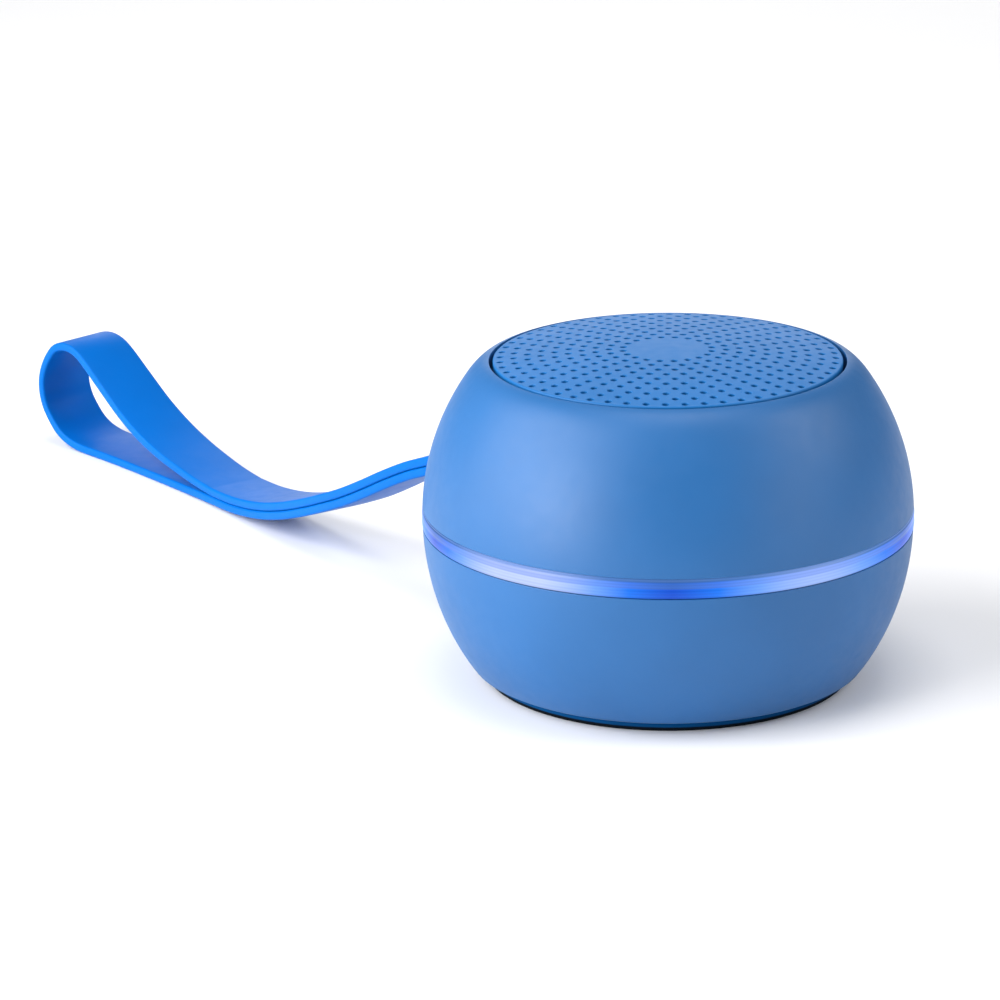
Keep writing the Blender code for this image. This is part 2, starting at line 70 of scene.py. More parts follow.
# ---------------------------------------------------------------- driving dimensions (mm)
R_MAX, Z_WAIST = 37.0, 25.0  # the body's largest radius and its height
UPPER, LOWER = (36.93, 1.964), (38.0, 2.066)  # height and power of each half's superellipse
WALL = 2.2
Z_BASE, Z_LOW_RIM = 1.6, 23.38
Z_RING = (23.48, 26.38)
CLEAR_TO_MILKY, MILKY_TO_RIM = (24.9, 25.05), (25.85, 26.05)  # where the ring's bands change
RING_LAMPS, RING_LINE_PITCH = 6.0, 0.45
Z_UP_RIM = 26.46
R_RECESS, R_LEDGE, Z_LEDGE = 26.7, 20.6, (40.3, 41.9)
R_GRILLE, Z_GRILLE_EDGE, DOME_RISE = 26.1, 48.8, 1.55
FOOT_R, FOOT_H, CONTACT_SHADOW_H = 28.1, 1.58, 0.58  # the foot, and the height of the black band painted round its lowest edge as contact shadow
BOSS_R, BOSS_AZ = 24.5, (40, 160, 280)  # the case screws' bosses
POST_R, POST_AZ = 26.5, (136, 220, 340)  # the board screws' posts
DRIVER_SCREW_R = 23.0
SCREW_HOLE_R = 1.1
CASE_SCREW_R, CASE_HEAD_R = 1.3, 2.1  # the case screws' holes and the room for their heads
NOTCH_HALF = 5.5  # half the width of the strap's way out
CTRL_Z = 17.6  # height of the controls on the back
SWITCH_AZ, USB_AZ, MIC_AZ = 56, 75, 33
BUTTON_AZ = {"minus": 95, "play": 108, "plus": 121}
STRAP_AZ, STRAP_W, STRAP_T = 137.3, 10.4, 1.5
STRAP_Z, PIN_S, PIN_R, FLEX_S = 27.2, 28.6, 0.8, 40.4
STRAIGHT_S = 40.0  # the reach to which the strap leaves the body straight
EYE_S, EYE_WIDER = (112, 140), 0.09  # where the strap grows wider towards its eye, and by how much
SEG = 240  # facets round the body

HOLE_R, HOLE_EDGE = 0.50, 0.08  # the grille's holes and the rounding of their rims
HOLE_ROWS, FIRST_ROW_R, ROW_PITCH = 10, 6.67, 2.037
FIRST_ROW_HOLES, MORE_HOLES, HOLE_PHASE = 20, 4, -0.65


# ---------------------------------------------------------------- shape formulas
def half_r(z, half):
    height, power = half
    return R_MAX * (1 - (abs(z - Z_WAIST) / height) ** power) ** (1 / power)


def body_r(z):
    return half_r(z, UPPER if z > Z_WAIST else LOWER)


def dome_z(r):
    return Z_GRILLE_EDGE + DOME_RISE * (1 - (r / R_GRILLE) ** 2)


def polar(r, az, z=0.0):
    a = math.radians(az)
    return Vector((r * math.cos(a), r * math.sin(a), z))


def facing(az, z=0.0):
    """Frame at a height on the axis: X outward, Y along the wall, Z up."""
    return Matrix.Translation((0, 0, z)) @ Matrix.Rotation(math.radians(az), 4, "Z")


def rounded(corners, steps=5):
    """A closed outline whose corners (x, y, radius) are rounded; a radius of 0 keeps the point."""
    out = []
    n = len(corners)
    for i, (x, y, radius) in enumerate(corners):
        here = np.array([x, y], float)
        if radius == 0:
            out.append(here)
            continue
        back = np.array(corners[i - 1][:2]) - here
        on = np.array(corners[(i + 1) % n][:2]) - here
        back_len, on_len = np.linalg.norm(back), np.linalg.norm(on)
        back, on = back / back_len, on / on_len
        half = math.acos(max(-1, min(1, back @ on))) / 2
        reach = min(radius / math.tan(half), 0.48 * back_len, 0.48 * on_len)
        radius = reach * math.tan(half)
        middle = back + on
        centre = here + middle / np.linalg.norm(middle) * radius / math.sin(half)
        a, b = here + back * reach - centre, here + on * reach - centre
        turn = math.acos(max(-1, min(1, (a @ b) / radius**2)))
        for k in range(steps + 1):
            t = k / steps
            arc = math.sin((1 - t) * turn) * a + math.sin(t * turn) * b
            out.append(centre + arc / math.sin(turn))
    return [tuple(p) for p in out]


def bend(a, b, c, n):
    """A curve from a to c that leaves and arrives pointing at b."""
    a, b, c = (np.array(p) for p in (a, b, c))
    return [tuple((1 - t) ** 2 * a + 2 * t * (1 - t) * b + t * t * c) for t in np.linspace(0, 1, n)]


def plain(points):
    return [(x, y, 0) for x, y in points]


def rod(r, z0, z1):
    """A solid cylinder's (r, z) outline."""
    return [(0, z0), (r, z0), (r, z1), (0, z1)]


def circle(r, n, phase=0.0):
    turns = [2 * math.pi * (k + phase) / n for k in range(n)]
    return [(r * math.cos(a), r * math.sin(a)) for a in turns]


def round_rect(width, height, radius, steps=5):
    w, h = width / 2, height / 2
    return rounded([(-w, -h, radius), (w, -h, radius), (w, h, radius), (-w, h, radius)], steps)


# ---------------------------------------------------------------- meshes
def lathe(profile, seg=SEG, place=None):
    """(verts, faces) of a closed (r, z) outline turned about the axis."""
    place = place or Matrix()
    verts, rings = [], []
    for r, z in profile:
        if r < 1e-9:
            rings.append([len(verts)] * seg)
            verts.append(place @ Vector((0, 0, z)))
        else:
            rings.append(range(len(verts), len(verts) + seg))
            verts += [place @ Vector((x, y, z)) for x, y in circle(r, seg, 0.5)]
    faces = []
    for i, low in enumerate(rings):
        high = rings[(i + 1) % len(rings)]
        for k in range(seg):
            n = (k + 1) % seg
            face = list(dict.fromkeys((low[k], low[n], high[n], high[k])))
            if len(face) > 2:
                faces.append(face)
    return verts, faces


def loft(sections, closed=False):
    """(verts, faces) through rings of equally many points. Closed joins the last to the first;
    otherwise both ends are capped."""
    n = len(sections[0])
    verts = [Vector(p) for ring in sections for p in ring]
    faces = []
    count = len(sections)
    for i in range(count if closed else count - 1):
        low, high = i * n, (i + 1) % count * n
        faces += [(low + k, low + (k + 1) % n, high + (k + 1) % n, high + k) for k in range(n)]
    if not closed:
        faces.append(tuple(range(n))[::-1])
        faces.append(tuple(range((count - 1) * n, count * n)))
    return verts, faces


def prism(outline, x0, x1, place, edge=0.0, edge_at=(False, True)):
    """An outline in a frame's (Y, Z) carried along X, with the edges at its ends eased."""
    def ring(x, shrink):
        c = np.mean(outline, axis=0)
        size = np.abs(np.array(outline) - c).max(axis=0)
        pts = c + (np.array(outline) - c) * (1 - shrink / size)
        return [place @ Vector((x, y, z)) for y, z in pts]
    rings = []
    if edge and edge_at[0]:
        rings += [ring(x0, edge), ring(x0 + edge * 0.3, edge * 0.3)]
    rings.append(ring(x0 + (edge if edge_at[0] else 0), 0))
    rings.append(ring(x1 - (edge if edge_at[1] else 0), 0))
    if edge and edge_at[1]:
        rings += [ring(x1 - edge * 0.3, edge * 0.3), ring(x1, edge)]
    return loft(rings)


def on_wall(outline, az, z, depths):
    """A solid that follows the body's wall: the outline in (arc length, height) about a place on it,
    carried through (depth, growth) steps. Depth is measured inward from the surface."""
    rings = []
    for depth, grow in depths:
        ring = []
        for (u, v), (du, dv) in zip(outline, growth(outline)):
            height = z + v + dv * grow
            turn = math.degrees((u + du * grow) / body_r(z))
            ring.append(polar(body_r(height) - depth, az + turn, height))
        rings.append(ring)
    return loft(rings)


def growth(outline):
    """Outward unit normals of a closed outline."""
    p = np.array(outline)
    t = np.roll(p, -1, axis=0) - np.roll(p, 1, axis=0)
    t /= np.linalg.norm(t, axis=1)[:, None]
    return np.stack([t[:, 1], -t[:, 0]], 1)


def merged(*shapes):
    verts, faces = [], []
    for v, f in shapes:
        faces += [tuple(i + len(verts) for i in face) for face in f]
        verts += list(v)
    return verts, faces


def make(name, shape, materials, sharp=32):
    """An object from (verts, faces). Edges bent by more than sharp degrees stay crisp."""
    verts, faces = shape
    mesh = bpy.data.meshes.new(name)
    mesh.from_pydata([Vector(v) * 0.001 for v in verts], [], faces)
    bm = bmesh.new()
    bm.from_mesh(mesh)
    bmesh.ops.recalc_face_normals(bm, faces=bm.faces)
    bm.to_mesh(mesh)
    bm.free()
    finish_mesh(mesh, sharp)
    for m in materials:
        mesh.materials.append(m)
    obj = bpy.data.objects.new(name, mesh)
    bpy.context.scene.collection.objects.link(obj)
    return obj


def finish_mesh(mesh, sharp):
    mesh.shade_smooth()
    mesh.set_sharp_from_angle(angle=math.radians(sharp))


def carve(obj, add=(), remove=(), sharp=32):
    """Joins solids to obj and cuts others from it."""
    for shapes, operation in ((add, "UNION"), (remove, "DIFFERENCE")):
        if not shapes:
            continue
        tools = bpy.data.collections.new("tools")
        bpy.context.scene.collection.children.link(tools)
        for k, shape in enumerate(shapes):
            tool = make(f"tool_{k}", shape, [])
            bpy.context.scene.collection.objects.unlink(tool)
            tools.objects.link(tool)
        mod = obj.modifiers.new(operation.lower(), "BOOLEAN")
        mod.operation, mod.operand_type, mod.collection = operation, "COLLECTION", tools
        mod.solver = "EXACT"
        graph = bpy.context.evaluated_depsgraph_get()
        carved = bpy.data.meshes.new_from_object(obj.evaluated_get(graph))
        obj.modifiers.remove(mod)
        obj.data = carved
        for tool in list(tools.objects):
            bpy.data.objects.remove(tool, do_unlink=True)
        bpy.data.collections.remove(tools)
    finish_mesh(obj.data, sharp)


def piece(obj, body, slot, *nodes):
    """Puts an object on its body and hides the nodes that it stands for. The slot is not used."""
    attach(obj, body)
    if nodes:
        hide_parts(*nodes)
    return obj


# ---------------------------------------------------------------- materials
class Shader:
    """A procedural material: a Principled BSDF and short ways to feed it."""

    def __init__(self, name, color, rough, **sockets):
        self.material = bpy.data.materials.new(name)
        self.material.use_nodes = True
        self.tree = self.material.node_tree
        self.bsdf = self.tree.nodes["Principled BSDF"]
        self.bsdf.inputs["Base Color"].default_value = (*color, 1)
        self.bsdf.inputs["Roughness"].default_value = rough
        for key, value in sockets.items():
            self.bsdf.inputs[key.replace("_", " ")].default_value = value
        self.coords = self.tree.nodes.new("ShaderNodeTexCoord").outputs["Object"]

    def node(self, kind, inputs=(), **settings):
        n = self.tree.nodes.new("ShaderNode" + kind)
        for key, value in settings.items():
            setattr(n, key, value)
        for key, value in dict(inputs).items():
            if isinstance(value, bpy.types.NodeSocket):
                self.tree.links.new(value, n.inputs[key])
            else:
                n.inputs[key].default_value = value
        return n

    def math(self, operation, a, b=0.0, c=0.0):
        return self.node("Math", {0: a, 1: b, 2: c}, operation=operation).outputs[0]

    def noise(self, scale, detail=2.0, rough=0.5, stretch=None):
        where = self.coords
        if stretch:
            where = self.node("Mapping", {"Vector": where, "Scale": stretch}).outputs[0]
        return self.node("TexNoise", {"Vector": where, "Scale": scale, "Detail": detail,
                                      "Roughness": rough}).outputs["Fac"]

    def ramp(self, fac, stops):
        n = self.node("ValToRGB", {"Fac": fac})
        while len(n.color_ramp.elements) < len(stops):
            n.color_ramp.elements.new(0.5)
        for e, (at, color) in zip(n.color_ramp.elements, stops):
            e.position = at
            e.color = (*color, 1)
        return n.outputs["Color"]

    def mix(self, fac, a, b, blend="MIX"):
        n = self.node("Mix", data_type="RGBA", blend_type=blend)
        for key, value in ((0, fac), (6, a), (7, b)):
            if isinstance(value, bpy.types.NodeSocket):
                self.tree.links.new(value, n.inputs[key])
            else:
                n.inputs[key].default_value = (*value, 1) if isinstance(value, tuple) else value
        return n.outputs[2]

    def feed(self, socket, value):
        self.tree.links.new(value, self.bsdf.inputs[socket])
        return self

    def bump(self, height, distance, strength=1.0):
        n = self.node("Bump", {"Height": height, "Distance": distance, "Strength": strength})
        return self.feed("Normal", n.outputs["Normal"])


def shade(color, factor):
    return tuple(min(1.0, c * factor) for c in color)


def moulded(name, color, rough, grain=0.3, depth=0.004, **sockets):
    """Moulded plastic or rubber: faint cloudiness, a fine grain and slightly uneven gloss."""
    uneven = 0.03  # how far the roughness strays either way
    s = Shader(name, color, rough, **sockets)
    cloud = s.noise(60, 3)
    s.feed("Base Color", s.ramp(cloud, [(0.3, shade(color, 0.95)), (0.7, shade(color, 1.05))]))
    gloss = s.node("MapRange", {"Value": s.noise(500, 2), "From Min": 0.3, "From Max": 0.7,
                                "To Min": rough - uneven, "To Max": rough + uneven})
    s.feed("Roughness", gloss.outputs[0])
    return s.bump(s.noise(1000 / grain, 2, 0.6), depth * 0.001)


def metal(name, color, rough, lay=(1, 1, 20)):
    """Metal with fine lines from rolling or turning."""
    s = Shader(name, color, rough, Metallic=1.0)
    lines = s.noise(900, 3, 0.6, stretch=lay)
    s.feed("Base Color", s.ramp(lines, [(0.3, shade(color, 0.85)), (0.7, shade(color, 1.1))]))
    s.feed("Roughness", s.math("MULTIPLY_ADD", lines, 0.25, rough - 0.12))
    return s.bump(lines, 0.000004)


def weave(name, color, pitch):
    """Woven cloth: two sets of threads at right angles."""
    s = Shader(name, color, 0.95, Sheen_Weight=0.3)
    warp = s.node("TexWave", {"Vector": s.coords, "Scale": 314 / pitch}, bands_direction="X")
    weft = s.node("TexWave", {"Vector": s.coords, "Scale": 314 / pitch}, bands_direction="Y")
    threads = s.math("MAXIMUM", warp.outputs["Fac"], weft.outputs["Fac"])
    s.feed("Base Color", s.ramp(threads, [(0.2, shade(color, 0.35)), (0.9, shade(color, 1.2))]))
    return s.bump(threads, 0.00005)


def ring_glow(name):
    """The lit light guide: six lamps behind it, pale in front of each and deep blue between them,
    in a clear lower band, a milky upper band and a duller rim."""
    s = Shader(name, (0.0, 0.01, 0.06), 0.3, Specular_IOR_Level=0.25)
    xyz = s.node("SeparateXYZ", {"Vector": s.coords})
    azimuth = s.math("ARCTAN2", xyz.outputs["Y"], xyz.outputs["X"])
    across = s.math("COSINE", azimuth)
    shifted = s.math("MULTIPLY_ADD", across, -0.17, azimuth)  # lamps not quite evenly spaced
    turns = s.math("MULTIPLY_ADD", shifted, RING_LAMPS, -0.09)
    wave = s.math("MULTIPLY_ADD", s.math("COSINE", turns), 0.5, 0.5)
    # painted highlight: the glow grows brighter towards the left, on the side of the key lamps
    painted_highlight_left = s.math("MULTIPLY_ADD", across, -0.22, 0.93)
    lamp = s.math("MULTIPLY", s.math("POWER", wave, 0.65), painted_highlight_left)
    clear = s.ramp(lamp, [(0.0, (0.0, 0.075, 0.64)), (0.3, (0.005, 0.19, 0.93)),
                          (0.6, (0.16, 0.38, 1.0)), (1.0, (0.55, 0.66, 1.0))])
    milky = s.ramp(lamp, [(0.0, (0.03, 0.13, 0.52)), (0.3, (0.05, 0.19, 0.80)),
                          (0.6, (0.14, 0.32, 0.92)), (1.0, (0.38, 0.49, 0.96))])
    rim = s.ramp(lamp, [(0.0, (0.06, 0.15, 0.38)), (0.5, (0.07, 0.19, 0.48)),
                        (1.0, (0.20, 0.33, 0.70))])

    def rise(low, high):
        return s.node("MapRange", {"Value": xyz.outputs["Z"], "From Min": low * 0.001,
                                   "From Max": high * 0.001}).outputs[0]

    def grey(stops):
        return [(at, (level,) * 3) for at, level in stops]

    glow = s.mix(rise(*MILKY_TO_RIM), s.mix(rise(*CLEAR_TO_MILKY), clear, milky), rim)
    # painted shadow: the glow darkens towards the ring's lowest edge, at its seam with the lower shell
    painted_seam_shadow = s.ramp(rise(*Z_RING), grey([(0.0, 0.35), (0.04, 0.8), (0.08, 1.0)]))
    lines = s.math("SINE", s.math("MULTIPLY", xyz.outputs["Z"], 2000 * math.pi / RING_LINE_PITCH))
    glow = s.mix(1.0, glow, painted_seam_shadow, "MULTIPLY")
    line_shade = s.ramp(s.math("MULTIPLY_ADD", lines, 0.5, 0.5), grey([(0.0, 0.88), (1.0, 1.0)]))
    glow = s.mix(1.0, glow, line_shade, "MULTIPLY")
    s.feed("Emission Color", glow)
    s.bsdf.inputs["Emission Strength"].default_value = 1.0
    return s


BLUE = (0.0140, 0.107, 0.303)
# painted light: the shell's blue made brighter and bluer for the grille's upward-facing plate
LIT_GRILLE_BLUE = (0.004, 0.128, 0.385)
STRAP_BLUE = (0.0, 0.118, 0.470)


def make_materials():
    """One material for each of the record's slots."""
    m = {}
    m["shell_plastic"] = moulded("soft_touch_blue", BLUE, 0.46, Specular_IOR_Level=0.4)
    m["light_guide"] = ring_glow("lit_light_guide")
    m["silicone"] = moulded("silicone_blue", STRAP_BLUE, 0.38, 0.5, 0.003, Specular_IOR_Level=0.07)
    m["foot_rubber"] = moulded("foot_rubber", (0.0, 0.052, 0.17), 0.7, 0.25, 0.01,
                               Specular_IOR_Level=0.05)
    m["cloth"] = weave("dust_cloth", (0.012, 0.075, 0.24), 0.3)
    m["black_plastic"] = moulded("black_plastic", (0.018, 0.018, 0.02), 0.45, 0.2, 0.008)
    m["cone_paper"] = moulded("cone_paper", (0.03, 0.03, 0.034), 0.8, 0.6, 0.03)
    m["surround_rubber"] = moulded("surround_rubber", (0.012, 0.012, 0.013), 0.5, 0.3, 0.004)
    m["spider_cloth"] = weave("spider_cloth", (0.45, 0.25, 0.05), 0.4)
    m["steel"] = metal("plated_steel", (0.56, 0.57, 0.59), 0.32)
    m["ferrite"] = moulded("ferrite", (0.025, 0.025, 0.028), 0.62, 0.2, 0.01)
    m["board"] = circuit_board("solder_mask")
    m["led_white"] = lamp("lamp_package")
    m["white_plastic"] = moulded("natural_nylon", (0.78, 0.76, 0.68), 0.5, 0.4, 0.004)
    m["foil"] = crinkled("pouch_foil", (0.58, 0.60, 0.63))
    m["foam"] = foam("closed_cell_foam", (0.03, 0.03, 0.034))
    m["red_wire"] = moulded("red_insulation", (0.52, 0.012, 0.01), 0.4, 0.6, 0.003)
    m["black_wire"] = moulded("black_insulation", (0.01, 0.01, 0.011), 0.4, 0.6, 0.003)
    m["copper"] = metal("copper_winding", (0.72, 0.30, 0.14), 0.35, (1, 1, 60))
    return {slot: s.material for slot, s in m.items()}


def circuit_board(name):
    """Green solder mask over lighter copper areas."""
    s = Shader(name, (0.02, 0.2, 0.07), 0.35, Coat_Weight=0.5, Coat_Roughness=0.2)
    tracks = s.node("TexBrick", {"Vector": s.coords, "Scale": 140.0, "Mortar Size": 0.018,
                                 "Color1": (0.012, 0.13, 0.045, 1),
                                 "Color2": (0.016, 0.16, 0.055, 1),
                                 "Mortar": (0.05, 0.30, 0.10, 1)})
    s.feed("Base Color", tracks.outputs["Color"])
    return s.bump(s.noise(900, 2), 0.00001)


def lamp(name):
    """A lit lamp's package."""
    s = Shader(name, (0.8, 0.8, 0.85), 0.4)
    s.feed("Base Color", s.ramp(s.noise(600), [(0.3, (0.75, 0.75, 0.8)), (0.7, (0.85, 0.85, 0.9))]))
    s.bsdf.inputs["Emission Color"].default_value = (0.45, 0.55, 1.0, 1)
    s.bsdf.inputs["Emission Strength"].default_value = 2.0
    return s


def crinkled(name, color):
    """Laminated foil with soft creases."""
    s = Shader(name, color, 0.35, Metallic=0.9)
    creases = s.node("TexVoronoi", {"Vector": s.coords, "Scale": 160.0},
                     feature="DISTANCE_TO_EDGE").outputs["Distance"]
    s.feed("Roughness", s.math("MULTIPLY_ADD", s.noise(200), 0.2, 0.25))
    # painted shade: the colour darkens along the creases
    s.feed("Base Color", s.ramp(creases, [(0.0, shade(color, 0.8)), (0.3, shade(color, 1.1))]))
    return s.bump(creases, 0.00012)


def foam(name, color):
    """Fine closed cells."""
    s = Shader(name, color, 0.95)
    cells = s.node("TexVoronoi", {"Vector": s.coords, "Scale": 2200.0}).outputs["Distance"]
    # painted shade and highlight: darker in each cell's hollow, lighter along its walls
    s.feed("Base Color", s.ramp(cells, [(0.1, shade(color, 0.5)), (0.7, shade(color, 1.4))]))
    return s.bump(cells, 0.0001)


# ---------------------------------------------------------------- shells
def notch(grow):
    """The cut at the back that lets the strap out, its rim eased on the outside."""
    w = NOTCH_HALF
    outline = rounded([(-w, -3.0, 0), (w, -3.0, 0), (w, 2.0, 1.1), (-w, 2.0, 1.1)])
    return on_wall(outline, STRAP_AZ, STRAP_Z, [(11, 0), (0.25, 0), (-0.06, grow), (-3, grow)])


def boxed(y, half, z0, z1):
    """A rectangle in (across, up)."""
    return [(y - half, z0), (y + half, z0), (y + half, z1), (y - half, z1)]


def upper_housing(m):
    """The upper shell: its wall, the driver's ledge, screw bosses and the strap's ribs."""
    brow = bend((26.85, 48.66), (28.63, 48.15), (half_r(45.8, UPPER), 45.8), 14)
    outer = [(half_r(z, UPPER), z) for z in np.linspace(45.8, Z_UP_RIM + 0.2, 44)]
    inner = [(half_r(z, UPPER) - WALL, z) for z in np.linspace(Z_UP_RIM, Z_LEDGE[0], 12)]
    profile = rounded(
        [(R_LEDGE, Z_LEDGE[1], 0.2), (R_RECESS, Z_LEDGE[1], 0), (R_RECESS, 48.7, 0.1)]
        + plain(brow) + plain(outer[1:])
        + [(half_r(Z_UP_RIM, UPPER), Z_UP_RIM, 0.08)] + plain(inner) + [(R_LEDGE, Z_LEDGE[0], 0.2)]
    )
    obj = make("upper_housing", lathe(profile), [m["shell_plastic"]])
    up = facing(STRAP_AZ)
    pillars, bores = [], []
    for az in BOSS_AZ:
        at = Matrix.Translation(polar(BOSS_R, az))
        pillars.append(lathe(rod(2.3, 23.6, 41.0), 31, at))
        bores.append(lathe(rod(CASE_SCREW_R, 23.0, 32.0), 23, at))
    for k in range(4):
        at = Matrix.Translation(polar(DRIVER_SCREW_R, 90 * k))
        bores.append(lathe(rod(SCREW_HOLE_R, 39.5, 42.5), 23, at))
    for y in (-6.75, 6.75):
        pillars.append(prism(boxed(y, 0.85, 27, 33), 29.5, 34.9, up))
        pillars.append(prism(boxed(y, 0.95, 25.5, 32.8), 26.8, 31.2, up))
    pin = Matrix.Translation(up @ Vector((PIN_S, 0, STRAP_Z))) @ up.to_3x3().to_4x4()
    pin = pin @ Matrix.Rotation(math.radians(90), 4, "X")
    bores.append(lathe(rod(PIN_R + 0.3, -9, 9), 23, pin))
    carve(obj, pillars, bores + [notch(0.3)])
    piece(obj, "housing", "shell_plastic", "upper_shell")


def lower_housing(m):
    """The lower shell: a cup with screw tubes, board posts and the openings for the controls."""
    outer = [(half_r(z, LOWER), z) for z in np.linspace(3.2, Z_LOW_RIM - 0.2, 44)]
    inner = [(half_r(z, LOWER) - WALL, z) for z in np.linspace(Z_LOW_RIM, 5.4, 12)]
    profile = rounded(
        [(0, Z_BASE, 0), (29.1, Z_BASE, 0.3), (29.9, 2.0, 0.4)] + plain(outer)
        + [(half_r(Z_LOW_RIM, LOWER), Z_LOW_RIM, 0.08)] + plain(inner)
        + [(27.2, 3.8, 0.8), (0, 3.8, 0)]
    )
    obj = make("lower_housing", lathe(profile), [m["shell_plastic"]])
    add, remove = [], []
    for az in BOSS_AZ:
        at = Matrix.Translation(polar(BOSS_R, az))
        add.append(lathe(rod(2.9, 2.6, Z_LOW_RIM), 31, at))
        counterbore = [(0, 1.0), (CASE_HEAD_R, 1.0), (CASE_HEAD_R, 19.2), (CASE_SCREW_R, 19.2),
                       (CASE_SCREW_R, 24.0), (0, 24.0)]
        remove.append(lathe(counterbore, 23, at))
    for az in POST_AZ:
        at = Matrix.Translation(polar(POST_R, az))
        add.append(lathe(rod(2.1, 2.6, 19.2), 31, at))
        remove.append(lathe(rod(SCREW_HOLE_R, 14.5, 20.0), 23, at))

    def opening(depth, grow=0.24, straight=0.22):
        """Steps of a cut this deep, whose rim is eased outside."""
        return [(depth, 0), (straight, 0), (-0.05, grow), (-2, grow)]

    for az in BUTTON_AZ.values():
        remove.append(on_wall(circle(2.72, 48), az, CTRL_Z, opening(4)))
    remove.append(on_wall(circle(0.55, 20), MIC_AZ, CTRL_Z, opening(4, 0.15, 0.1)))
    remove.append(on_wall(round_rect(5.6, 2.6, 0.5), SWITCH_AZ, CTRL_Z, opening(4)))
    remove.append(on_wall(round_rect(12.5, 6.3, 1.0), USB_AZ, CTRL_Z, opening(1.35)))
    remove.append(on_wall(round_rect(9.8, 3.8, 1.7), USB_AZ, CTRL_Z, [(4, 0), (0.5, 0)]))
    carve(obj, add, remove)
    piece(obj, "housing", "shell_plastic", "lower_shell")


def glow_ring(m):
    """The light guide: two shallow beads outside, a skirt inside that faces the lamps."""
    low, high = Z_RING
    seam, face_r = 24.95, 36.98

    def bead(z0, z1, rise):
        return [(face_r + rise * math.sin(math.pi * t), z0 + (z1 - z0) * t)
                for t in np.linspace(0.08, 0.92, 7)]

    profile = rounded(
        [(32.5, high, 0.2), (32.5, 21.3, 0.2), (34.2, 21.3, 0.2), (34.2, low + 0.8, 0),
         (34.9, low + 0.8, 0), (34.9, low, 0), (36.93, low, 0.12)]
        + plain(bead(low + 0.1, seam, 0.10)) + plain(bead(seam, high - 0.3, 0.08))
        + [(36.9, high - 0.27, 0), (36.95, high, 0.1)]
    )
    obj = make("glow_ring", lathe(profile), [m["light_guide"]], 40)
    gap = on_wall(boxed(0, NOTCH_HALF, -2.0, 0.5), STRAP_AZ, STRAP_Z, [(7, 0), (-1, 0)])
    carve(obj, (), [gap], 40)
    piece(obj, "housing", "light_guide", "light_ring")


def base_pad(m):
    """The foot: a blue disc whose underside has fine grooves, with a thin black band painted over its
    underside and round its lowest edge as the shadow where it meets the table.
    """
    profile = [(0, FOOT_H, 0), (0, 0, 0)]
    for r in (8.0, 12.0, 16.0, 20.0, 24.0):
        profile += [(r - 0.35, 0, 0), (r - 0.2, 0.18, 0.08), (r + 0.2, 0.18, 0.08), (r + 0.35, 0, 0)]
    profile += [(FOOT_R - 0.3, 0, 0.1), (FOOT_R - 0.2, CONTACT_SHADOW_H, 0), (FOOT_R, CONTACT_SHADOW_H + 0.05, 0.1),
                (FOOT_R, FOOT_H, 0.1)]
    # painted contact shadow: a near-black finish for the foot's underside and lowest edge
    contact_shadow = moulded("painted_contact_shadow", (0.003, 0.005, 0.008), 0.8, Specular_IOR_Level=0.05).material
    obj = make("base_pad", lathe(rounded(profile)), [m["foot_rubber"], contact_shadow])
    # faces below the band's top take the painted contact shadow
    for polygon in obj.data.polygons:
        polygon.material_index = int(polygon.center.z < (CONTACT_SHADOW_H + 0.01) * 0.001)
    piece(obj, "housing", "foot_rubber", "foot_pad")


# ---------------------------------------------------------------- grille
def hole_centres():
    centres = []
    for row in range(HOLE_ROWS):
        r, count = FIRST_ROW_R + ROW_PITCH * row, FIRST_ROW_HOLES + MORE_HOLES * row
        shift = HOLE_PHASE + (180 / count if row % 2 == 0 else 0)  # every second row is staggered
        centres += [polar(r, shift + 360 / count * k).xy for k in range(count)]
    return centres


